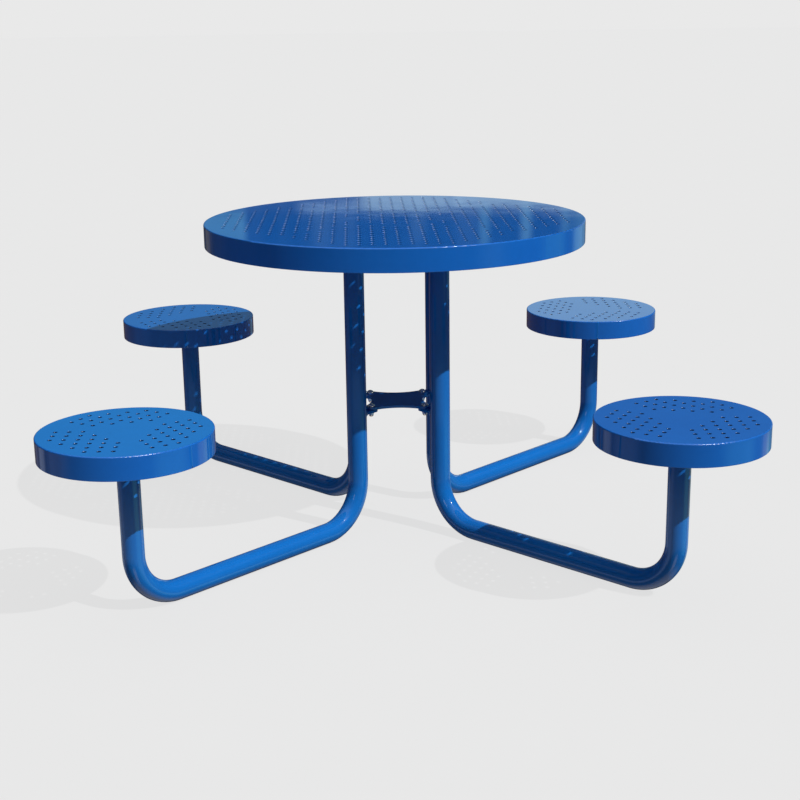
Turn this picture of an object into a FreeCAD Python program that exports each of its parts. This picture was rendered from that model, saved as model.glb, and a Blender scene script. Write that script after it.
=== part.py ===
import FreeCAD, Part
import math
import os

# Round picnic table with four seats on one tubular frame. Millimetres, +Z up,
# floor at z = 0, table axis on the Z axis. The four tubes lie along the axes:
# front_right +X, back_right +Y, back_left -X, front_left -Y.

V = FreeCAD.Vector
os.makedirs("parts", exist_ok=True)

# ---------------------------------------------------------------- dimensions
SIDES = (("front_right", 0.0), ("back_right", 90.0), ("back_left", 180.0), ("front_left", 270.0))

SHEET = 3.0            # perforated sheet of top and seats, welded flush inside the skirts
BAND = 3.0             # thickness of the rolled skirts
EDGE_R = 2.4           # rounding of the skirts' outer upper edges
BAND_EDGE = 0.7        # small rounding on the skirts' lower edges

TOP_D = 914.4          # table top diameter
TOP_H = 760.0          # height of the top face
TOP_SKIRT = 53.5       # rim height
TOP_PITCH = 28.8       # square hole lattice of the top
TOP_HOLE = 9.1
TOP_HOLE_EDGE = (0.30, 0.53)   # outward and down: the eased upper edge of each hole

SEAT_D = 368.0         # seat diameter
SEAT_H = 410.0         # height of a seat's top face
SEAT_SKIRT = 50.0      # rim height
SEAT_PITCH = 28.5      # hole lattice of the seats
SEAT_HOLE = 9.5
SEAT_HOLE_EDGE = (0.30, 0.46)
SEAT_BAND_R = 102.0    # seat centre to the middle of each of its three hole bands

TUBE_D = 48.3          # frame tube
TUBE_T = 3.2
BEND_R = 110.0         # centreline radius of both bends
UPRIGHT_R = 143.0      # table axis to upright centreline
POST_R = 818.0         # table axis to seat post centreline

CHANNEL_W = 32.0       # channel under the table top
CHANNEL_H = 28.0
CHANNEL_T = 3.0
MOUNT_L = 130.0        # flange on an upright: radial length, width, thickness
MOUNT_W = 56.0
MOUNT_T = 6.0
MOUNT_BOLT = 44.0      # its bolts, each side of the tube centre

SPIDER_H = 22.0        # three-armed tray under a seat
SPIDER_T = 3.0
SPIDER_W = 34.0        # arm width
SPIDER_HUB = 58.0      # hub radius
SEAT_MOUNT_R = 58.0    # round flange on a seat post
SEAT_MOUNT_T = 6.0
SEAT_BOLT_R = 43.0     # its three bolts

M10_SHANK = 10.0
M10_CLEAR = 11.0
M10_AF = 17.0
M10_HEAD = 6.4
M10_NUT = 8.4
M10_WASHER_D = 20.0
M10_WASHER_T = 2.0
M10_OUT = 3.0          # thread standing out of the nut

BRACE_TOP = 309.2      # upper face of the brace plate
BRACE_T = 6.0
BRACE_BOLT_R = 93.0    # table axis to each brace bolt
BRACE_CORNER_R = 15.0
BRACE_WAIST = 62.5     # table axis to the middle of each hollow side
LUG_T = 6.0
LUG_W = 32.0
M8_SHANK = 8.0
M8_CLEAR = 9.0
DOME_D = 18.6          # dome head of a brace bolt
DOME_H = 7.3
CAP_AF = 13.0          # cap nut
CAP_HEX = 6.5
CAP_H = 14.0
CAP_DOME_D = 12.6

# ---------------------------------------------------------------- levels
TOP_UNDER = TOP_H - SHEET
CHANNEL_Z = TOP_UNDER - CHANNEL_H
MOUNT_Z = CHANNEL_Z - MOUNT_T            # underside of a table mount plate = top end of the upright
SEAT_UNDER = SEAT_H - SHEET
SPIDER_Z = SEAT_UNDER - SPIDER_H
SEAT_MOUNT_Z = SPIDER_Z - SEAT_MOUNT_T   # underside of a seat mount plate = top end of the post
BRACE_Z = BRACE_TOP - BRACE_T
LUG_Z = BRACE_Z - LUG_T


# ---------------------------------------------------------------- helpers
def save(name, shape):
    shape.exportStep("parts/" + name + ".step")


def turned(shape, deg):
    s = shape.copy()
    s.rotate(V(0, 0, 0), V(0, 0, 1), deg)
    return s


def cyl(r, h, x, y, z):
    return Part.makeCylinder(r, h, V(x, y, z))


def circle_wire(r, x, y, z):
    return Part.Wire([Part.Circle(V(x, y, z), V(0, 0, 1), r).toShape()])


def hexagon(af, h, x, y, z, turn=0.0):
    r = af / math.sqrt(3.0)
    pts = [V(x + r * math.cos(math.radians(60 * k + turn)), y + r * math.sin(math.radians(60 * k + turn)), z) for k in range(7)]
    return Part.Face(Part.makePolygon(pts)).extrude(V(0, 0, h))


def chamfered_hexagon(af, h, x, y, z, turn, top, bottom):
    """Hexagon whose corners are turned down on its top and/or bottom face."""
    body = hexagon(af, h, x, y, z, turn)
    r = af / math.sqrt(3.0)
    drop = (r - af / 2.0) * math.tan(math.radians(30))
    rin = af / 2.0 - 0.15
    grow = 1.2
    pts = []
    zb, zt = z, z + h
    slope = math.tan(math.radians(30))
    if bottom:
        pts += [V(0, 0, zb), V(rin, 0, zb), V(r + grow, 0, zb + (r + grow - rin) * slope)]
    else:
        pts += [V(0, 0, zb - 1), V(r + grow, 0, zb - 1)]
    if top:
        pts += [V(r + grow, 0, zt - (r + grow - rin) * slope), V(rin, 0, zt), V(0, 0, zt)]
    else:
        pts += [V(r + grow, 0, zt + 1), V(0, 0, zt + 1)]
    pts.append(pts[0])
    cut = Part.Face(Part.makePolygon(pts)).revolve(V(0, 0, 0), V(0, 0, 1), 360)
    cut.translate(V(x, y, 0))
    return body.common(cut)


def fillet_at(shape, r, z, radii, tol=0.05):
    """Rounds the circular edges about the shape's own axis that lie at height z with one of the radii."""
    pick = []
    for e in shape.Edges:
        c = e.Curve
        if isinstance(c, Part.Circle) and abs(c.Center.z - z) < tol and min(abs(c.Radius - q) for q in radii) < tol:
            pick.append(e)
    return shape.makeFillet(r, pick)


def perforated(radius, z, holes, hole_d, edge):
    """Round sheet with its upper face at z. Each hole, given as (x, y) about the centre, has an eased upper edge."""
    wires = [circle_wire(radius, 0, 0, z - SHEET)] + [circle_wire(hole_d / 2.0, x, y, z - SHEET) for x, y in holes]
    sheet = Part.Face(wires, "Part::FaceMakerBullseye").extrude(V(0, 0, SHEET))
    out, down = edge
    grow = 0.5
    cutter = Part.makeCone(hole_d / 2.0, hole_d / 2.0 + out * (1 + grow / down), down + grow, V(0, 0, z - down))
    cutters = []
    for x, y in holes:
        c = cutter.copy()
        c.translate(V(x, y, 0))
        cutters.append(c)
    return sheet.cut(Part.makeCompound(cutters)).Solids[0]


def skirt(radius, z_low, z_high):
    """Rolled band: outer radius, lower and upper edge. Its outer upper edge is rounded."""
    ring = Part.makeCylinder(radius, z_high - z_low, V(0, 0, z_low)).cut(
        Part.makeCylinder(radius - BAND, z_high - z_low, V(0, 0, z_low)))
    ring = fillet_at(ring, BAND_EDGE, z_low, (radius, radius - BAND))
    return fillet_at(ring, EDGE_R, z_high, (radius,))


# ---------------------------------------------------------------- table top
# Hole pattern of the top: a square lattice turned 45 degrees to the tubes. The
# diagonals of the lattice stay blank and lie over the channels, and a blank
# ring parts an island of 37 holes from the four sectors.
def top_holes():
    n = 14
    inner = {0: 5, 1: 5, 2: 4, 3: 4, 4: 5, 5: 6, 6: 7, 7: 8, 8: 9}
    outer = {0: n, 1: n, 2: n, 3: n, 4: n, 5: 13, 6: 12, 7: 11, 8: 10}
    cells = set()
    for i in range(-3, 4):
        for j in range(-3, 4):
            if abs(i) + abs(j) <= 4:
                cells.add((i, j))
    for across in range(-8, 9):
        a = abs(across)
        for along in range(inner[a], outer[a] + 1):
            cells |= {(along, across), (-along, across), (across, along), (across, -along)}
    c = math.cos(math.radians(45)) * TOP_PITCH
    return [(c * (i - j), c * (i + j)) for i, j in sorted(cells)]


save("tabletop_plate", perforated(TOP_D / 2 - BAND, TOP_H, top_holes(), TOP_HOLE, TOP_HOLE_EDGE))
save("tabletop_skirt", skirt(TOP_D / 2, TOP_H - TOP_SKIRT, TOP_H))


def channel(x0, x1):
    """Channel along X, web down, trimmed to the inside of the skirt."""
    box = Part.makeBox(x1 - x0, CHANNEL_W, CHANNEL_H, V(x0, -CHANNEL_W / 2, CHANNEL_Z))
    inside = Part.makeBox(x1 - x0 + 40, CHANNEL_W - 2 * CHANNEL_T, CHANNEL_H, V(x0 - 20, -CHANNEL_W / 2 + CHANNEL_T, CHANNEL_Z + CHANNEL_T))
    s = box.cut(inside)
    for r in (UPRIGHT_R - MOUNT_BOLT, UPRIGHT_R + MOUNT_BOLT):
        for sign in (-1, 1):
            if x0 < sign * r < x1:
                s = s.cut(cyl(M10_CLEAR / 2, CHANNEL_T + 2, sign * r, 0, CHANNEL_Z - 1))
    return s.common(Part.makeCylinder(TOP_D / 2 - BAND, CHANNEL_H, V(0, 0, CHANNEL_Z)))


reach = TOP_D / 2 + 5
save("tabletop_channel_long", channel(-reach, reach))
half = channel(CHANNEL_W / 2, reach)
save("tabletop_channel_back_right", turned(half, 90))
save("tabletop_channel_front_left", turned(half, 270))


# ---------------------------------------------------------------- frame tubes
def tube_section(x, z):
    """Level ring of the tube's section."""
    return Part.Face([circle_wire(TUBE_D / 2, x, 0, z), circle_wire(TUBE_D / 2 - TUBE_T, x, 0, z)], "Part::FaceMakerBullseye")


def bent_tube():
    """Seat post, bend, run along the floor, bend and upright, in one piece."""
    z0 = TUBE_D / 2
    zb = z0 + BEND_R
    post = tube_section(POST_R, zb).extrude(V(0, 0, SEAT_MOUNT_Z - zb))
    upright = tube_section(UPRIGHT_R, zb).extrude(V(0, 0, MOUNT_Z - zb))
    outer_bend = tube_section(POST_R, zb).revolve(V(POST_R - BEND_R, 0, zb), V(0, 1, 0), 90)
    inner_bend = tube_section(UPRIGHT_R, zb).revolve(V(UPRIGHT_R + BEND_R, 0, zb), V(0, -1, 0), 90)
    run = Part.makeCylinder(TUBE_D / 2, POST_R - UPRIGHT_R - 2 * BEND_R, V(UPRIGHT_R + BEND_R, 0, z0), V(1, 0, 0)).cut(
        Part.makeCylinder(TUBE_D / 2 - TUBE_T, POST_R - UPRIGHT_R - 2 * BEND_R, V(UPRIGHT_R + BEND_R, 0, z0), V(1, 0, 0)))
    return post.fuse([upright, outer_bend, inner_bend, run]).removeSplitter()


def table_mount():
    r = 9.0
    x0, x1, y1 = UPRIGHT_R - MOUNT_L / 2, UPRIGHT_R + MOUNT_L / 2, MOUNT_W / 2
    s = Part.makeBox(MOUNT_L, MOUNT_W, MOUNT_T, V(x0, -y1, MOUNT_Z))
    s = s.makeFillet(r, [e for e in s.Edges if isinstance(e.Curve, Part.Line) and abs(e.tangentAt(e.FirstParameter).z) > 0.99])
    for r in (UPRIGHT_R - MOUNT_BOLT, UPRIGHT_R + MOUNT_BOLT):
        s = s.cut(cyl(M10_CLEAR / 2, MOUNT_T + 2, r, 0, MOUNT_Z - 1))
    return s


def lug():
    s = Part.makeBox(UPRIGHT_R - BRACE_BOLT_R, LUG_W, LUG_T, V(BRACE_BOLT_R, -LUG_W / 2, LUG_Z))
    s = s.fuse(cyl(LUG_W / 2, LUG_T, BRACE_BOLT_R, 0, LUG_Z)).removeSplitter()
    s = s.cut(cyl(TUBE_D / 2, LUG_T + 2, UPRIGHT_R, 0, LUG_Z - 1))
    inside = [q for q in s.Solids if q.BoundBox.XMin < BRACE_BOLT_R][0]
    return inside.cut(cyl(M8_CLEAR / 2, LUG_T + 2, BRACE_BOLT_R, 0, LUG_Z - 1))


tube, mount, one_lug = bent_tube(), table_mount(), lug()
for side, deg in SIDES:
    save("frame_tube_" + side, turned(tube, deg))
    save("tabletop_mount_plate_" + side, turned(mount, deg))
    save("brace_lug_" + side, turned(one_lug, deg))


# ---------------------------------------------------------------- brace plate
def brace():
    # Corner arcs about the bolts, joined by hollow arcs that run into them.
    k = BRACE_BOLT_R * math.sqrt(0.5)
    d = BRACE_WAIST - k
    hollow = (d * d + k * k - BRACE_CORNER_R ** 2) / (2 * (BRACE_CORNER_R - d))
    far = BRACE_WAIST + hollow
    edges = []
    for n in range(4):
        a = math.radians(90 * n)
        corner = V(BRACE_BOLT_R * math.cos(a), BRACE_BOLT_R * math.sin(a), BRACE_Z)
        centres = [V(far * math.cos(a + s * math.pi / 4), far * math.sin(a + s * math.pi / 4), BRACE_Z) for s in (-1, 1)]
        meet = []
        for c in centres:
            u = (c - corner).normalize()
            meet.append(corner + u * BRACE_CORNER_R)
        tip = V((BRACE_BOLT_R + BRACE_CORNER_R) * math.cos(a), (BRACE_BOLT_R + BRACE_CORNER_R) * math.sin(a), BRACE_Z)
        edges.append(Part.Arc(meet[0], tip, meet[1]).toShape())
        b = a + math.pi / 2
        nxt = V(BRACE_BOLT_R * math.cos(b), BRACE_BOLT_R * math.sin(b), BRACE_Z)
        u = (centres[1] - nxt).normalize()
        waist = V(BRACE_WAIST * math.cos(a + math.pi / 4), BRACE_WAIST * math.sin(a + math.pi / 4), BRACE_Z)
        edges.append(Part.Arc(meet[1], waist, nxt + u * BRACE_CORNER_R).toShape())
    s = Part.Face(Part.Wire(edges)).extrude(V(0, 0, BRACE_T))
    for n in range(4):
        a = math.radians(90 * n)
        s = s.cut(cyl(M8_CLEAR / 2, BRACE_T + 2, BRACE_BOLT_R * math.cos(a), BRACE_BOLT_R * math.sin(a), BRACE_Z - 1))
    return s


save("brace_plate", brace())


def dome(r, h, x, y, z, up=True):
    """Spherical cap of base radius r and height h standing on (or hanging from) z."""
    big = (r * r + h * h) / (2 * h)
    s = 1 if up else -1
    cap = Part.makeSphere(big, V(x, y, z + s * (h - big)))
    slab = Part.makeCylinder(r + 1, h + 1, V(x, y, z if up else z - h - 1))
    return cap.common(slab)


bolts, nuts = [], []
for n in range(4):
    a = math.radians(90 * n)
    x, y = BRACE_BOLT_R * math.cos(a), BRACE_BOLT_R * math.sin(a)
    rim = 1.0
    head = cyl(DOME_D / 2, rim, x, y, BRACE_TOP).fuse(dome(DOME_D / 2, DOME_H - rim, x, y, BRACE_TOP + rim))
    bore = CAP_H - 4.0
    shank = cyl(M8_SHANK / 2, BRACE_TOP - LUG_Z + bore, x, y, LUG_Z - bore)
    bolts.append(head.fuse(shank).removeSplitter())
    nut = chamfered_hexagon(CAP_AF, CAP_HEX, x, y, LUG_Z - CAP_HEX, 90 * n + 12 * n, False, True)
    barrel = CAP_H - CAP_HEX - 4.6
    nut = nut.fuse(cyl(CAP_DOME_D / 2 - 0.4, barrel, x, y, LUG_Z - CAP_HEX - barrel))
    nut = nut.fuse(dome(CAP_DOME_D / 2 - 0.4, 4.6, x, y, LUG_Z - CAP_HEX - barrel, False)).removeSplitter()
    nuts.append(nut.cut(cyl(M8_SHANK / 2, bore, x, y, LUG_Z - bore)))
save("brace_bolts", Part.makeCompound(bolts))
save("brace_cap_nuts", Part.makeCompound(nuts))


# ---------------------------------------------------------------- seats
# A seat is drawn about the Z axis with its outward side along +X, then moved
# out to the post and turned to its place.
def seat_holes():
    out = []
    d = SEAT_PITCH * math.sqrt(0.5)
    for band in (0, 120, 240):
        a = math.radians(band)
        for i in range(6):
            for j in range(6):
                if abs(i - j) <= 2:
                    r, t = SEAT_BAND_R + d * (i - j), d * (i + j - 5)
                    out.append((r * math.cos(a) - t * math.sin(a), r * math.sin(a) + t * math.cos(a)))
    return out


ARMS = (60, 180, 300)


def star(hub, width, reach, z, h, corner):
    s = Part.makeCylinder(hub, h, V(0, 0, z))
    for a in ARMS:
        s = s.fuse(turned(Part.makeBox(reach, width, h, V(0, -width / 2, z)), a))
    s = s.removeSplitter()
    pick = []
    for e in s.Edges:
        if isinstance(e.Curve, Part.Line) and abs(e.tangentAt(e.FirstParameter).z) > 0.99:
            p = e.valueAt(e.FirstParameter)
            if math.hypot(p.x, p.y) < hub + 2:
                pick.append(e)
    return s.makeFillet(corner, pick)


def at_bolts(fn):
    return [fn(SEAT_BOLT_R * math.cos(math.radians(a)), SEAT_BOLT_R * math.sin(math.radians(a)), a) for a in ARMS]


def spider():
    outside = star(SPIDER_HUB, SPIDER_W, SEAT_D / 2 + 10, SPIDER_Z, SPIDER_H, 12)
    inside = star(SPIDER_HUB - SPIDER_T, SPIDER_W - 2 * SPIDER_T, SEAT_D / 2 + 20, SPIDER_Z + SPIDER_T, SPIDER_H, 15)
    s = outside.cut(inside).common(Part.makeCylinder(SEAT_D / 2 - BAND, SPIDER_H, V(0, 0, SPIDER_Z)))
    for c in at_bolts(lambda x, y, a: cyl(M10_CLEAR / 2, SPIDER_T + 2, x, y, SPIDER_Z - 1)):
        s = s.cut(c)
    return s


def seat_mount():
    s = Part.makeCylinder(SEAT_MOUNT_R, SEAT_MOUNT_T, V(0, 0, SEAT_MOUNT_Z))
    for c in at_bolts(lambda x, y, a: cyl(M10_CLEAR / 2, SEAT_MOUNT_T + 2, x, y, SEAT_MOUNT_Z - 1)):
        s = s.cut(c)
    return s


def hex_bolt(x, y, turn, under, nut_top):
    """Hexagon bolt with its head below the washer under face `under` and its end above the nut."""
    z = under - M10_WASHER_T - M10_HEAD
    head = chamfered_hexagon(M10_AF, M10_HEAD, x, y, z, turn, False, True)
    top = nut_top + M10_OUT
    shank = cyl(M10_SHANK / 2, top - z - M10_HEAD, x, y, z + M10_HEAD)
    tip = [e for e in shank.Edges if isinstance(e.Curve, Part.Circle) and abs(e.Curve.Center.z - top) < 0.01]
    return head.fuse(shank.makeChamfer(1.0, tip)).removeSplitter()


def washer(x, y, under):
    z = under - M10_WASHER_T
    return cyl(M10_WASHER_D / 2, M10_WASHER_T, x, y, z).cut(cyl(M10_CLEAR / 2, M10_WASHER_T, x, y, z))


def hex_nut(x, y, turn, z):
    n = chamfered_hexagon(M10_AF, M10_NUT, x, y, z, turn, True, False)
    return n.cut(cyl(M10_SHANK / 2, M10_NUT, x, y, z))


plate = perforated(SEAT_D / 2 - BAND, SEAT_H, seat_holes(), SEAT_HOLE, SEAT_HOLE_EDGE)
band = skirt(SEAT_D / 2, SEAT_H - SEAT_SKIRT, SEAT_H)
tray, flange = spider(), seat_mount()
nut_z = SPIDER_Z + SPIDER_T
sb = at_bolts(lambda x, y, a: hex_bolt(x, y, a * 1.3, SEAT_MOUNT_Z, nut_z + M10_NUT))
sw = at_bolts(lambda x, y, a: washer(x, y, SEAT_MOUNT_Z))
sn = at_bolts(lambda x, y, a: hex_nut(x, y, a + 30, nut_z))
seat_sets = {"seat_bolts": [], "seat_washers": [], "seat_nuts": []}
for side, deg in SIDES:
    def placed(s):
        q = s.copy()
        q.translate(V(POST_R, 0, 0))
        return turned(q, deg)
    save("seat_plate_" + side, placed(plate))
    save("seat_skirt_" + side, placed(band))
    save("seat_spider_" + side, placed(tray))
    save("seat_mount_plate_" + side, placed(flange))
    seat_sets["seat_bolts"] += [placed(s) for s in sb]
    seat_sets["seat_washers"] += [placed(s) for s in sw]
    seat_sets["seat_nuts"] += [placed(s) for s in sn]
for name, solids in seat_sets.items():
    save(name, Part.makeCompound(solids))

# ---------------------------------------------------------------- table top fasteners
top_nut_z = CHANNEL_Z + CHANNEL_T
tb, tw, tn = [], [], []
for k, (side, deg) in enumerate(SIDES):
    for m, r in enumerate((UPRIGHT_R - MOUNT_BOLT, UPRIGHT_R + MOUNT_BOLT)):
        tb.append(turned(hex_bolt(r, 0, 17 * k + 23 * m, MOUNT_Z, top_nut_z + M10_NUT), deg))
        tw.append(turned(washer(r, 0, MOUNT_Z), deg))
        tn.append(turned(hex_nut(r, 0, 30, top_nut_z), deg))
save("tabletop_bolts", Part.makeCompound(tb))
save("tabletop_washers", Part.makeCompound(tw))
save("tabletop_nuts", Part.makeCompound(tn))
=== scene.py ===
import math
import bpy
import bmesh
from mathutils import Matrix, Vector


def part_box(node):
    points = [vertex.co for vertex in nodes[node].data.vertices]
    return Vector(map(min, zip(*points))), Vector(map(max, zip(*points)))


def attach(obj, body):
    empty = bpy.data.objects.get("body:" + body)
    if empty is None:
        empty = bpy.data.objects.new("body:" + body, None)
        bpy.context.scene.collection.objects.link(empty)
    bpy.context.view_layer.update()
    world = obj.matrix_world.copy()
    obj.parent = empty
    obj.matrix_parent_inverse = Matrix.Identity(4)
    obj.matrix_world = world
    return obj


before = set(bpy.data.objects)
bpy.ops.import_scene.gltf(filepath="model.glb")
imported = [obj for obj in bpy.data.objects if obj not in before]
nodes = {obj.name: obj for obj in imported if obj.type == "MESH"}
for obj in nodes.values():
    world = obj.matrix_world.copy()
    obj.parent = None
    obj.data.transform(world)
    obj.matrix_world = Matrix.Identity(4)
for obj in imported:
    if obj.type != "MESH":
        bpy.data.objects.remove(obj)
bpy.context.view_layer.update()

scene = bpy.context.scene
SIDES = (("front_right", 0), ("back_right", 90), ("back_left", 180), ("front_left", 270))


# ------------------------------------------------------------------ node graph helpers
def new_material(name):
    m = bpy.data.materials.new(name)
    m.use_nodes = True
    nt = m.node_tree
    nt.nodes.clear()
    out = nt.nodes.new("ShaderNodeOutputMaterial")
    bsdf = nt.nodes.new("ShaderNodeBsdfPrincipled")
    nt.links.new(bsdf.outputs["BSDF"], out.inputs["Surface"])
    return m, nt, bsdf


def node(nt, kind, **values):
    n = nt.nodes.new(kind)
    for k, v in values.items():
        if k in n.inputs:
            n.inputs[k].default_value = v
        else:
            setattr(n, k, v)
    return n


def noise(nt, vector, scale, detail=2.0, rough=0.5):
    n = nt.nodes.new("ShaderNodeTexNoise")
    n.inputs["Scale"].default_value = scale
    n.inputs["Detail"].default_value = detail
    n.inputs["Roughness"].default_value = rough
    nt.links.new(vector, n.inputs["Vector"])
    return n.outputs["Fac"]


def remap(nt, value, lo, hi, to_lo, to_hi):
    n = nt.nodes.new("ShaderNodeMapRange")
    n.inputs["From Min"].default_value = lo
    n.inputs["From Max"].default_value = hi
    n.inputs["To Min"].default_value = to_lo
    n.inputs["To Max"].default_value = to_hi
    nt.links.new(value, n.inputs["Value"])
    return n.outputs["Result"]


def mix_colour(nt, fac, a, b):
    n = nt.nodes.new("ShaderNodeMix")
    n.data_type = "RGBA"
    if isinstance(fac, float):
        n.inputs["Factor"].default_value = fac
    else:
        nt.links.new(fac, n.inputs["Factor"])
    for key, v in (("A", a), ("B", b)):
        sock = [s for s in n.inputs if s.name == key and s.type == "RGBA"][0]
        if isinstance(v, tuple):
            sock.default_value = (*v, 1.0)
        else:
            nt.links.new(v, sock)
    return [s for s in n.outputs if s.type == "RGBA"][0]


def blend(nt, fac, a, b):
    n = nt.nodes.new("ShaderNodeMix")
    n.data_type = "FLOAT"
    nt.links.new(fac, n.inputs[0])
    for i, v in ((2, a), (3, b)):
        if isinstance(v, float):
            n.inputs[i].default_value = v
        else:
            nt.links.new(v, n.inputs[i])
    return n.outputs[0]


def bump(nt, height, distance, strength=1.0, normal=None):
    n = nt.nodes.new("ShaderNodeBump")
    n.inputs["Distance"].default_value = distance
    n.inputs["Strength"].default_value = strength
    nt.links.new(height, n.inputs["Height"])
    if normal is not None:
        nt.links.new(normal, n.inputs["Normal"])
    return n.outputs["Normal"]


# ------------------------------------------------------------------ materials
def powder_coat(name, holes=False, edge=None, green=1.0):
    """Glossy blue powder coat: orange peel, slow waviness, faint tone drift and pinhead specks.

    On a perforated sheet the walls of the holes are duller and painted darker as painted shade, and the sloping edge
    faces are painted part way to the same shade.
    edge is the roughness over the sloping faces of a sheet's or a band's edges, where the coat is less even;
    green scales the batch's green."""
    m, nt, b = new_material(name)
    pos = nt.nodes.new("ShaderNodeTexCoord").outputs["Object"]
    drift = noise(nt, pos, 3.1, 3.0, 0.55)
    fine = noise(nt, pos, 55.0, 4.0, 0.6)
    tone = mix_colour(nt, remap(nt, drift, 0.3, 0.7, 0.0, 1.0), (0.0062, 0.143 * green, 0.500), (0.0085, 0.162 * green, 0.545))
    tone = mix_colour(nt, remap(nt, fine, 0.35, 0.75, 0.0, 0.35), tone, (0.0070, 0.135 * green, 0.465))
    speck = nt.nodes.new("ShaderNodeTexVoronoi")
    speck.inputs["Scale"].default_value = 190.0
    nt.links.new(pos, speck.inputs["Vector"])
    dot = remap(nt, speck.outputs["Distance"], 0.05, 0.10, 0.25, 0.0)
    tone = mix_colour(nt, dot, tone, (0.020, 0.20 * green, 0.60))
    rough = remap(nt, noise(nt, pos, 21.0, 3.0, 0.6), 0.3, 0.75, 0.022, 0.045)
    if edge is not None:
        axis = nt.nodes.new("ShaderNodeSeparateXYZ")
        nt.links.new(nt.nodes.new("ShaderNodeNewGeometry").outputs["Normal"], axis.inputs["Vector"])
        tilt_z = nt.nodes.new("ShaderNodeMath")
        tilt_z.operation = "ABSOLUTE"
        nt.links.new(axis.outputs["Z"], tilt_z.inputs[0])
        upright = remap(nt, tilt_z.outputs[0], 0.1, 0.3, 1.0, 0.0)
        level_face = remap(nt, tilt_z.outputs[0], 0.93, 0.995, 0.0, 1.0)
        rough = blend(nt, level_face, edge, rough)
        rough = blend(nt, upright, rough, 0.45 if holes else 0.034)
        if holes:
            # painted shade: the hole walls take the dark blue fully and the sloping edge faces take it at 0.45
            edge_painted_shade = mix_colour(nt, 0.45, tone, HOLE_WALL_PAINTED_SHADE)
            tone = mix_colour(nt, upright, mix_colour(nt, level_face, edge_painted_shade, tone), HOLE_WALL_PAINTED_SHADE)
    nt.links.new(tone, b.inputs["Base Color"])
    nt.links.new(rough, b.inputs["Roughness"])
    peel = noise(nt, pos, 330.0, 1.0, 0.4)
    wave = noise(nt, pos, 9.0, 1.0, 0.4)
    n1 = bump(nt, wave, 0.0004, 0.30)
    n2 = bump(nt, peel, 0.00002, 0.40, n1)
    nt.links.new(n2, b.inputs["Normal"])
    b.inputs["IOR"].default_value = 1.52
    return m


# Dark blue painted into the hole walls of the perforated sheets as painted shade.
HOLE_WALL_PAINTED_SHADE = (0.0010, 0.014, 0.055)


def steel(name, colour, dull, rough_lo, rough_hi, brushed):
    m, nt, b = new_material(name)
    pos = nt.nodes.new("ShaderNodeTexCoord").outputs["Object"]
    stretch = nt.nodes.new("ShaderNodeMapping")
    stretch.inputs["Scale"].default_value = (1.0, 1.0, brushed)
    nt.links.new(pos, stretch.inputs["Vector"])
    grain = noise(nt, stretch.outputs["Vector"], 900.0, 3.0, 0.6)
    cloud = noise(nt, pos, 140.0, 3.0, 0.6)
    nt.links.new(mix_colour(nt, remap(nt, cloud, 0.35, 0.7, 0.0, 1.0), colour, dull), b.inputs["Base Color"])
    nt.links.new(remap(nt, grain, 0.3, 0.7, rough_lo, rough_hi), b.inputs["Roughness"])
    nt.links.new(bump(nt, grain, 0.00004, 0.4), b.inputs["Normal"])
    b.inputs["Metallic"].default_value = 1.0
    return m


PAINT = powder_coat("blue_powder_coat_look", green=0.98)
PERFORATED = powder_coat("blue_powder_coat_sheet_look", True, 0.30, 0.85)
PERFORATED_B = powder_coat("blue_powder_coat_sheet_b_look", True, 0.30, 1.0)
BAND = powder_coat("blue_powder_coat_band_look", False, 0.26, 0.86)
STAINLESS = steel("stainless_look", (0.80, 0.78, 0.75), (0.70, 0.68, 0.65), 0.06, 0.13, 6.0)
ZINC = steel("zinc_plate_look", (0.60, 0.61, 0.63), (0.47, 0.49, 0.52), 0.24, 0.38, 1.0)

for name, o in nodes.items():
    if name in ("brace_bolts", "brace_cap_nuts"):
        look = STAINLESS
    elif name.split("_")[-1] in ("bolts", "nuts", "washers"):
        look = ZINC
    elif name == "tabletop_plate" or name.startswith("seat_plate"):
        look = PERFORATED_B if name == "seat_plate_back_left" else PERFORATED
    elif name == "tabletop_skirt" or name.startswith("seat_skirt"):
        look = BAND
    else:
        look = PAINT
    if not o.material_slots:
        o.data.materials.append(look)
    for s in o.material_slots:
        s.material = look


# ------------------------------------------------------------------ weld beads and band seams
UP = Vector((0.0, 0.0, 1.0))
BURIED = 0.0004


class Beads:
    """One piece made of many closed beads."""

    def __init__(self):
        self.bm = bmesh.new()

    def sweep(self, sections, closed):
        rings = [[self.bm.verts.new(p) for p in ring] for ring in sections]
        n = len(rings[0])
        follow = rings[1:] + rings[:1] if closed else rings[1:]
        for a, b in zip(rings, follow):
            for k in range(n):
                self.bm.faces.new((a[k], a[(k + 1) % n], b[(k + 1) % n], b[k]))
        if not closed:
            self.bm.faces.new(rings[0][::-1])
            self.bm.faces.new(rings[-1])

    def finish(self, name):
        bmesh.ops.recalc_face_normals(self.bm, faces=self.bm.faces[:])
        mesh = bpy.data.meshes.new(name)
        self.bm.to_mesh(mesh)
        self.bm.free()
        for f in mesh.polygons:
            f.use_smooth = len(f.vertices) == 4
        mesh.materials.append(PAINT)
        o = bpy.data.objects.new(name, mesh)
        scene.collection.objects.link(o)
        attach(o, "root")
        return o


def fillet(corner, a, b, size):
    """Section of a bead in the corner between two faces that run from it along a and b."""
    pts = [corner - a * BURIED - b * BURIED, corner + a * size - b * BURIED]
    for k in range(5):
        t = math.pi / 2 * k / 4
        pts.append(corner + a * (size * max(math.cos(t), 0.0) ** 1.6) + b * (size * math.sin(t) ** 1.6))
    pts.append(corner - a * BURIED + b * size)
    return pts


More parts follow.
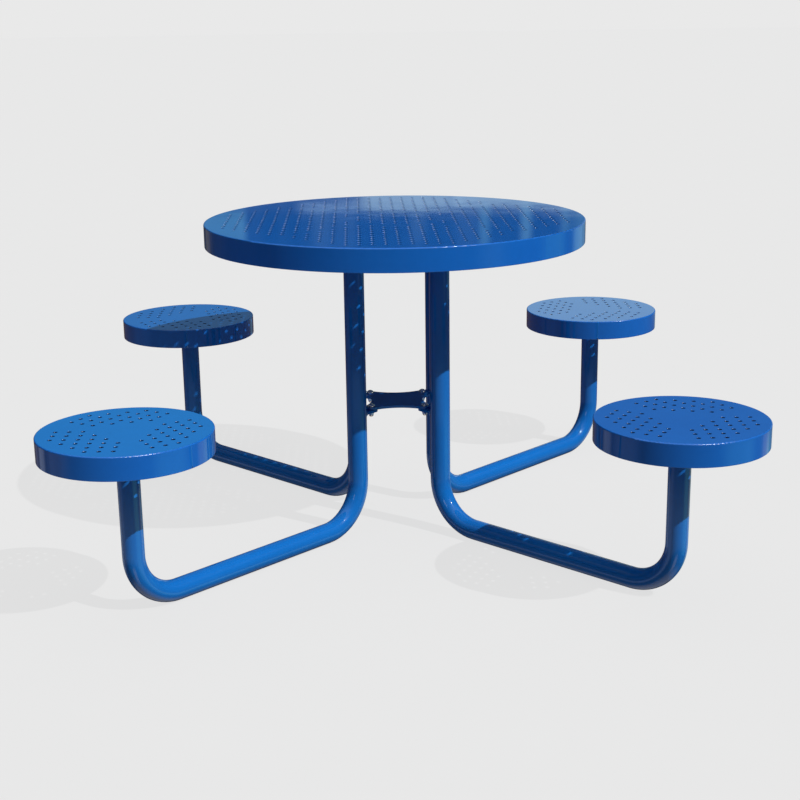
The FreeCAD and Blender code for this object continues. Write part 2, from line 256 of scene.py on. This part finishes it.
def bead(beads, along, length, size, pitch, closed=False, steps=4):
    """Rippled fillet bead; along(t) gives corner, a and b for t from 0 to 1."""
    count = max(2, round(length / pitch)) * steps
    sections = []
    for k in range(count if closed else count + 1):
        t = k / count
        s = size * (0.90 + 0.14 * abs(math.sin(math.pi * k / steps)))
        if not closed:
            s *= min(1.0, 0.35 + 0.65 * min(t, 1.0 - t) * length / size)
        sections.append(fillet(*along(t), s))
    beads.sweep(sections, closed)


def straight(beads, p0, p1, a, b, size, pitch=0.0030):
    bead(beads, lambda t: (p0.lerp(p1, t), a, b), (p1 - p0).length, size, pitch)


def ring_bead(beads, centre, radius, z, out, down, size, pitch, start=0.0, end=360.0, steps=4):
    """Bead round a level circle: out is +1 or -1 for the side it lies on, down the other face's direction."""
    full = end - start >= 359.99

    def along(t):
        g = math.radians(start + (end - start) * t)
        d = Vector((math.cos(g), math.sin(g), 0.0))
        return Vector((centre[0], centre[1], z)) + d * radius, d * out, down

    bead(beads, along, math.radians(end - start) * radius, size, pitch, full, steps)


def heading_of(deg):
    g = math.radians(deg)
    return Vector((math.cos(g), math.sin(g), 0.0))


TUBE_R, UPRIGHT, POST = 0.02415, 0.143, 0.818
LUG_HALF = (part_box("brace_lug_front_right")[1][1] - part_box("brace_lug_front_right")[0][1]) / 2
SEAT_HOLE_R = 0.00475


def lug_bead(beads, d, z_low, z_high, size):
    """Bead round the end of a lug where it meets its tube."""
    side = UP.cross(d)
    most = math.asin(LUG_HALF / TUBE_R)
    stations = []

    def place(phi, z, b):
        stations.append((d * UPRIGHT - d * (TUBE_R * math.cos(phi)) + side * (TUBE_R * math.sin(phi)) + UP * z, b))

    def turn(phi, z, b0, b1):
        for k in range(1, 4):
            w = math.pi / 2 * k / 4
            place(phi, z, b0 * math.cos(w) + b1 * math.sin(w))

    right_side = d * math.sin(most) + side * math.cos(most)
    left_side = d * math.sin(most) - side * math.cos(most)
    for k in range(15):
        place(-most + 2 * most * k / 14, z_high, UP)
    turn(most, z_high, UP, right_side)
    for k in range(4):
        place(most, z_high + (z_low - z_high) * k / 3, right_side)
    turn(most, z_low, right_side, -UP)
    for k in range(15):
        place(most - 2 * most * k / 14, z_low, -UP)
    turn(-most, z_low, -UP, left_side)
    for k in range(4):
        place(-most, z_low + (z_high - z_low) * k / 3, left_side)
    turn(-most, z_high, left_side, UP)
    beads.sweep([fillet(p, -d, b, size * (0.88 + 0.16 * abs(math.sin(math.pi * k / 4)))) for k, (p, b) in enumerate(stations)], True)


# frame: tubes to their flanges, and lugs to the uprights
z_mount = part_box("tabletop_mount_plate_front_right")[0][2]
z_seat_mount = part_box("seat_mount_plate_front_right")[0][2]
lug_low, lug_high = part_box("brace_lug_front_right")[0][2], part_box("brace_lug_front_right")[1][2]
for side, deg in SIDES:
    d = heading_of(deg)
    w = Beads()
    ring_bead(w, d * UPRIGHT, TUBE_R, z_mount, 1, -UP, 0.0045, 0.0027)
    ring_bead(w, d * POST, TUBE_R, z_seat_mount, 1, -UP, 0.0045, 0.0027)
    lug_bead(w, d, lug_low, lug_high, 0.0042)
    w.finish("weld_beads_frame_" + side)

# table top: sheet to band, channels to sheet and band, half channels to the long one
z_top_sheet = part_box("tabletop_plate")[0][2]
z_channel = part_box("tabletop_channel_long")[0][2]
TOP_IN, CH = 0.4542, 0.016
w = Beads()
for q in range(4):
    ring_bead(w, (0, 0), TOP_IN, z_top_sheet, -1, -UP, 0.0034, 0.0048, 90 * q + 2.5, 90 * q + 87.5, 3)
    d, t = heading_of(90 * q), heading_of(90 * q + 90)
    end = math.sqrt(TOP_IN ** 2 - CH ** 2)
    for s in (-1, 1):
        p = d * end + t * (s * CH)
        straight(w, p + UP * (z_channel + 0.001), p + UP * (z_top_sheet - 0.001), t * s, -d, 0.0034)
        for m in (8, 14, 20):
            c = m * 0.0288 * math.sqrt(0.5)
            straight(w, d * (c - 0.011) + t * (s * CH) + UP * z_top_sheet, d * (c + 0.011) + t * (s * CH) + UP * z_top_sheet, t * s, -UP, 0.0034)
    corner = d * CH + t * CH
    straight(w, corner + UP * (z_channel + 0.001), corner + UP * (z_top_sheet - 0.001), d, t, 0.0036)
w.finish("weld_beads_tabletop")

# seats: sheet to band, tray to sheet and band
z_seat_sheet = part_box("seat_plate_front_right")[0][2]
z_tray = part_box("seat_spider_front_right")[0][2]
SEAT_IN, ARM = 0.181, 0.017
step = 0.0285 * math.sqrt(0.5)
seat_holes = []
for b in (0, 120, 240):
    r, t = heading_of(b), heading_of(b + 90)
    seat_holes += [r * (0.102 + step * (i - j)) + t * (step * (i + j - 5)) for i in range(6) for j in range(6) if abs(i - j) <= 2]


def free_of_holes(p0, p1, gap):
    d = p1 - p0
    for h in seat_holes:
        t = max(0.0, min(1.0, (h - p0).dot(d) / d.length_squared))
        if (h - p0 - d * t).length < gap:
            return False
    return True


for side, deg in SIDES:
    centre = heading_of(deg) * POST
    w = Beads()
    for arm in (60, 180, 300):
        ring_bead(w, centre, SEAT_IN, z_seat_sheet, -1, -UP, 0.0032, 0.0045, deg + arm + 6.2, deg + arm + 113.8, 3)
        d, t = heading_of(deg + arm), heading_of(deg + arm + 90)
        dl, tl = heading_of(arm), heading_of(arm + 90)
        end = math.sqrt(SEAT_IN ** 2 - ARM ** 2)
        for s in (-1, 1):
            p = centre + d * end + t * (s * ARM)
            straight(w, p + UP * (z_tray + 0.001), p + UP * (z_seat_sheet - 0.001), t * s, -d, 0.0032)
            for near in (0.080, 0.112, 0.144):
                if free_of_holes(dl * near + tl * (s * ARM), dl * (near + 0.020) + tl * (s * ARM), SEAT_HOLE_R + 0.004):
                    straight(w, centre + d * near + t * (s * ARM) + UP * z_seat_sheet,
                             centre + d * (near + 0.020) + t * (s * ARM) + UP * z_seat_sheet, t * s, -UP, 0.0032)
    w.finish("weld_beads_seat_" + side)


def band_seam(beads, centre, radius, z_low, z_high, deg, half=0.0015, proud=0.00032):
    """Dressed butt weld of a rolled band: a low ridge up its face and over its rounded edge."""
    d, t = heading_of(deg), heading_of(deg + 90)
    c = Vector((centre[0], centre[1], 0.0))
    edge = 0.0024
    stations = []
    for k in range(9):
        z = z_low + 0.0008 + (z_high - edge - z_low - 0.0008) * k / 8
        stations.append((c + d * radius + UP * z, d, 1.0 if k else 0.3))
    for k in range(1, 6):
        g = math.radians(11 * k)
        n = d * math.cos(g) + UP * math.sin(g)
        stations.append((c + d * (radius - edge) + UP * (z_high - edge) + n * edge, n, 1.0 - 0.16 * k))
    sections = []
    for p, n, h in stations:
        sections.append([p + t * (half * x) + n * (proud * h * y) for x, y in
                         ((-1, -1.2), (-1, 0.0), (-0.6, 0.75), (0, 1.0), (0.6, 0.75), (1, 0.0), (1, -1.2))])
    beads.sweep(sections, False)


w = Beads()
top_lo, top_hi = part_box("tabletop_skirt")
band_seam(w, (0, 0), 0.4572, top_lo[2], top_hi[2], 152.0)
for side, deg, seam in (("front_right", 0, 131.0), ("back_right", 90, -48.3), ("back_left", 180, -40.2), ("front_left", 270, 8.5)):
    lo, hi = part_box("seat_skirt_" + side)
    band_seam(w, heading_of(deg) * POST, 0.184, lo[2], hi[2], seam)
w.finish("band_seams")

# ------------------------------------------------------------------ camera
cam_data = bpy.data.cameras.new("camera")
cam = bpy.data.objects.new("camera", cam_data)
scene.collection.objects.link(cam)
right = Vector((0.729935, 0.683382, -0.013541))
up = Vector((-0.169359, 0.200018, 0.965044))
fwd = Vector((-0.662203, 0.702126, -0.261737))
rot = Matrix((right, up, -fwd)).transposed()
cam.matrix_world = Matrix.Translation((2.31495, -2.44403, 1.21902)) @ rot.to_4x4()
cam_data.sensor_fit = "HORIZONTAL"
cam_data.sensor_width = 36.0
cam_data.lens = 62.8964
cam_data.clip_start = 0.05
cam_data.clip_end = 500.0
scene.camera = cam

# ------------------------------------------------------------------ stage and light
floor_mesh = bpy.data.meshes.new("floor")
bm = bmesh.new()
bmesh.ops.create_circle(bm, cap_ends=True, radius=160.0, segments=96)
bm.to_mesh(floor_mesh)
bm.free()
floor = bpy.data.objects.new("floor", floor_mesh)
scene.collection.objects.link(floor)
fm, nt, b = new_material("floor_look")
pos = nt.nodes.new("ShaderNodeTexCoord").outputs["Object"]
nt.links.new(mix_colour(nt, noise(nt, pos, 6.0, 4.0, 0.6), (0.076, 0.076, 0.076), (0.082, 0.082, 0.082)), b.inputs["Base Color"])
b.inputs["Roughness"].default_value = 0.9
b.inputs["Specular IOR Level"].default_value = 0.0
b.inputs["Emission Color"].default_value = (1.0, 1.0, 1.0, 1.0)
b.inputs["Emission Strength"].default_value = 0.719
floor_mesh.materials.append(fm)
floor.visible_glossy = False
floor.visible_diffuse = False

sun_data = bpy.data.lights.new("key", "SUN")
sun_data.energy = 3.2
sun_data.angle = math.radians(0.53)
sun_data.color = (1.0, 0.995, 0.985)
sun = bpy.data.objects.new("key", sun_data)
sun.rotation_mode = "QUATERNION"
sun.rotation_quaternion = Vector((0.689, 0.109, 0.716)).to_track_quat("Z", "Y")
scene.collection.objects.link(sun)

# Light round the object by elevation in degrees, then soft panels by heading and elevation.
SKY = (
    (-90, (0.80, 0.72, 0.61)),
    (-64, (0.60, 0.54, 0.46)),
    (-50, (0.09, 0.085, 0.075)),
    (-30, (0.06, 0.06, 0.058)),
    (-24, (0.32, 0.37, 0.44)),
    (-19.6, (0.32, 0.37, 0.44)),
    (-17.8, (0.09, 0.09, 0.10)),
    (-14, (0.12, 0.075, 0.055)),
    (-10.6, (0.10, 0.065, 0.05)),
    (-9.6, (0.040, 0.042, 0.045)),
    (-4, (0.040, 0.042, 0.045)),
    (0, (0.06, 0.08, 0.10)),
    (6.9, (0.07, 0.08, 0.10)),
    (7.4, (0.010, 0.014, 0.020)),
    (12, (0.012, 0.018, 0.026)),
    (20, (0.030, 0.042, 0.055)),
    (42, (0.15, 0.17, 0.19)),
    (60, (0.60, 0.60, 0.60)),
    (90, (1.15, 1.15, 1.15)),
)
STREAK = (
    (-12, (0.0, 0.0, 0.0)),
    (-6, (0.10, 0.10, 0.10)),
    (7, (0.05, 0.07, 0.08)),
    (9.5, (0.02, 0.035, 0.05)),
    (14, (0.0, 0.0, 0.0)),
)
PANELS = (  # heading from, to, elevation from, to, softness of both, colour
    (100.0, 131.0, -2.0, 7.36, 0.3, 0.10, (0.33, 0.46, 0.45)),
    (131.0, 134.8, -2.0, 7.46, 0.5, 0.10, (0.34, 0.47, 0.46)),
    (134.9, 137.3, 7.14, 7.42, 0.4, 0.06, (0.22, 0.31, 0.36)),
    (117.0, 127.3, 7.36, 7.62, 0.5, 0.10, (0.14, 0.16, 0.14)),
    (117.0, 130.0, 9.6, 14.0, 0.7, 0.40, (0.43, 0.60, 0.50)),
    (138.0, 146.0, 10.2, 14.0, 0.7, 0.40, (0.08, 0.13, 0.17)),
    (118.0, 126.1, 7.3, 9.0, 0.6, 0.20, (0.055, 0.14, 0.14)),
    (126.35, 126.6, 7.3, 9.0, 0.2, 0.20, (0.05, 0.13, 0.14)),
    (127.85, 128.25, 7.3, 9.0, 0.2, 0.20, (0.10, 0.22, 0.24)),
    (129.55, 129.95, 7.3, 9.0, 0.2, 0.20, (0.07, 0.17, 0.19)),
    (132.2, 132.8, 7.3, 8.7, 0.3, 0.20, (0.025, 0.04, 0.04)),
    (136.1, 136.9, 7.3, 8.9, 0.4, 0.20, (0.025, 0.04, 0.04)),
    (139.55, 148.0, 7.3, 9.0, 0.2, 0.20, (0.09, 0.23, 0.26)),
    (137.0, 153.0, 14.6, 19.0, 1.8, 0.40, (0.045, 0.28, 0.34)),
    (115.0, 129.0, 14.6, 19.0, 1.8, 0.40, (0.05, 0.07, 0.03)),
    (4.0, 19.0, -11.0, -3.0, 6.0, 1.50, (0.12, 0.28, 0.30)),
    (50.0, 72.0, -11.0, -3.0, 6.0, 1.50, (0.08, 0.34, 0.24)),
    (68.0, 90.0, -34.0, -16.0, 4.0, 1.20, (0.34, 0.32, 0.26)),
    (104.0, 116.0, -30.0, -2.0, 5.0, 3.00, (0.12, 0.26, 0.30)),
    (86.0, 104.0, -11.0, -3.0, 5.0, 1.50, (0.25, 0.52, 0.56)),
    (80.0, 100.0, -34.0, -16.0, 5.0, 1.20, (0.06, 0.30, 0.22)),
    (-95.0, 5.0, -16.2, -14.0, 12.0, 0.50, (0.10, 0.24, 0.52)),
    (-150.0, -112.0, -24.0, -11.3, 10.0, 0.80, (0.04, 0.11, 0.33)),
    (-150.0, -116.0, -34.0, -15.5, 10.0, 1.50, (0.11, 0.10, 0.09)),
    (168.0, 178.0, -34.0, -15.0, 4.0, 1.50, (0.06, 0.06, 0.10)),
    (-176.0, -160.0, -34.0, -15.0, 4.0, 1.50, (0.30, 0.36, 0.50)),
    (158.0, 170.0, -11.0, -3.0, 4.0, 1.50, (0.12, 0.10, 0.06)),
    (0.0, 45.0, -34.0, -15.5, 10.0, 1.50, (0.12, 0.50, 0.46)),
    (-60.0, -32.0, -56.0, -34.0, 6.0, 6.00, (0.85, 0.74, 0.60)),
    (-2.0, 22.0, 34.0, 57.0, 9.0, 9.00, (1.1, 1.1, 1.05)),
    (-76.0, -62.0, 14.0, 27.0, 2.0, 2.00, (1.4, 1.4, 1.35)),
)

world = bpy.data.worlds.new("studio")
scene.world = world
world.use_nodes = True
wt = world.node_tree
wt.nodes.clear()


def calc(op, a, b=None, c=None):
    """Math node whose inputs are sockets or numbers."""
    n = wt.nodes.new("ShaderNodeMath")
    n.operation = op
    for i, v in enumerate((a, b, c)):
        if v is None:
            continue
        if isinstance(v, (int, float)):
            n.inputs[i].default_value = v
        else:
            wt.links.new(v, n.inputs[i])
    return n.outputs[0]


def ramp(value, stops):
    """Colour along value, stops as (elevation in degrees, colour)."""
    n = wt.nodes.new("ShaderNodeValToRGB")
    wt.links.new(value, n.inputs["Fac"])
    els = n.color_ramp.elements
    els[0].position, els[0].color = at(stops[0][0]), (*stops[0][1], 1)
    els[1].position, els[1].color = at(stops[-1][0]), (*stops[-1][1], 1)
    for e, c in stops[1:-1]:
        els.new(at(e)).color = (*c, 1)
    return n.outputs["Color"]


def at(elevation):
    return 0.5 + elevation / 180.0


w_out = wt.nodes.new("ShaderNodeOutputWorld")
sep = wt.nodes.new("ShaderNodeSeparateXYZ")
wt.links.new(wt.nodes.new("ShaderNodeTexCoord").outputs["Generated"], sep.inputs["Vector"])
X, Y, Z = sep.outputs["X"], sep.outputs["Y"], sep.outputs["Z"]
level = calc("SQRT", calc("ADD", calc("MULTIPLY", X, X), calc("MULTIPLY", Y, Y)))
elev = calc("DIVIDE", calc("ARCTAN2", Z, level), math.pi)          # -0.5 nadir, 0 horizon, 0.5 zenith
ring = wt.nodes.new("ShaderNodeCombineXYZ")                         # heading as a point on the unit circle
wt.links.new(calc("DIVIDE", X, level), ring.inputs["X"])
wt.links.new(calc("DIVIDE", Y, level), ring.inputs["Y"])
panels = noise(wt, ring.outputs[0], 30.0, 2.0, 0.6)                 # narrow upright panels round the horizon
broad = noise(wt, ring.outputs[0], 3.0, 1.0, 0.5)
fac = calc("ADD", elev, 0.5)
fac = calc("ADD", fac, calc("MULTIPLY", calc("SUBTRACT", broad, 0.5), 0.006))
sky = ramp(fac, SKY)
band = ramp(fac, STREAK)
lift = wt.nodes.new("ShaderNodeMix")
lift.data_type = "RGBA"
lift.blend_type = "ADD"
wt.links.new(calc("MAXIMUM", calc("MULTIPLY_ADD", panels, 4.0, -1.9), 0.0), lift.inputs["Factor"])
colour_in = [q for q in lift.inputs if q.type == "RGBA"]
wt.links.new(sky, colour_in[0])
wt.links.new(band, colour_in[1])
light = [q for q in lift.outputs if q.type == "RGBA"][0]
heading = calc("MULTIPLY", calc("ARCTAN2", Y, X), 180.0 / math.pi)
tilt = calc("MULTIPLY", elev, 180.0)


def window(value, lo, hi, soft):
    """1 between lo and hi, falling smoothly to 0 over soft on each side."""
    out = []
    for a, b in ((lo - soft, lo + soft), (hi + soft, hi - soft)):
        n = wt.nodes.new("ShaderNodeMapRange")
        n.interpolation_type = "SMOOTHSTEP"
        n.inputs["From Min"].default_value = min(a, b)
        n.inputs["From Max"].default_value = max(a, b)
        n.inputs["To Min"].default_value = 0.0 if a < b else 1.0
        n.inputs["To Max"].default_value = 1.0 if a < b else 0.0
        wt.links.new(value, n.inputs["Value"])
        out.append(n.outputs["Result"])
    return calc("MULTIPLY", *out)


for h0, h1, e0, e1, soft, soft_e, colour in PANELS:
    add = wt.nodes.new("ShaderNodeMix")
    add.data_type = "RGBA"
    add.blend_type = "ADD"
    wt.links.new(calc("MULTIPLY", window(heading, h0, h1, soft), window(tilt, e0, e1, soft_e)), add.inputs["Factor"])
    colour_in = [q for q in add.inputs if q.type == "RGBA"]
    wt.links.new(light, colour_in[0])
    colour_in[1].default_value = (*colour, 1.0)
    light = [q for q in add.outputs if q.type == "RGBA"][0]
light_bg = node(wt, "ShaderNodeBackground")
wt.links.new(light, light_bg.inputs["Color"])
seen_bg = node(wt, "ShaderNodeBackground")
seen_bg.inputs["Color"].default_value = (0.8148, 0.8148, 0.8148, 1)
path = wt.nodes.new("ShaderNodeLightPath")
mixer = wt.nodes.new("ShaderNodeMixShader")
wt.links.new(path.outputs["Is Camera Ray"], mixer.inputs["Fac"])
wt.links.new(light_bg.outputs[0], mixer.inputs[1])
wt.links.new(seen_bg.outputs[0], mixer.inputs[2])
wt.links.new(mixer.outputs[0], w_out.inputs["Surface"])

scene.view_settings.view_transform = "Standard"
scene.view_settings.look = "None"
scene.view_settings.exposure = 0.0
scene.view_settings.gamma = 1.0
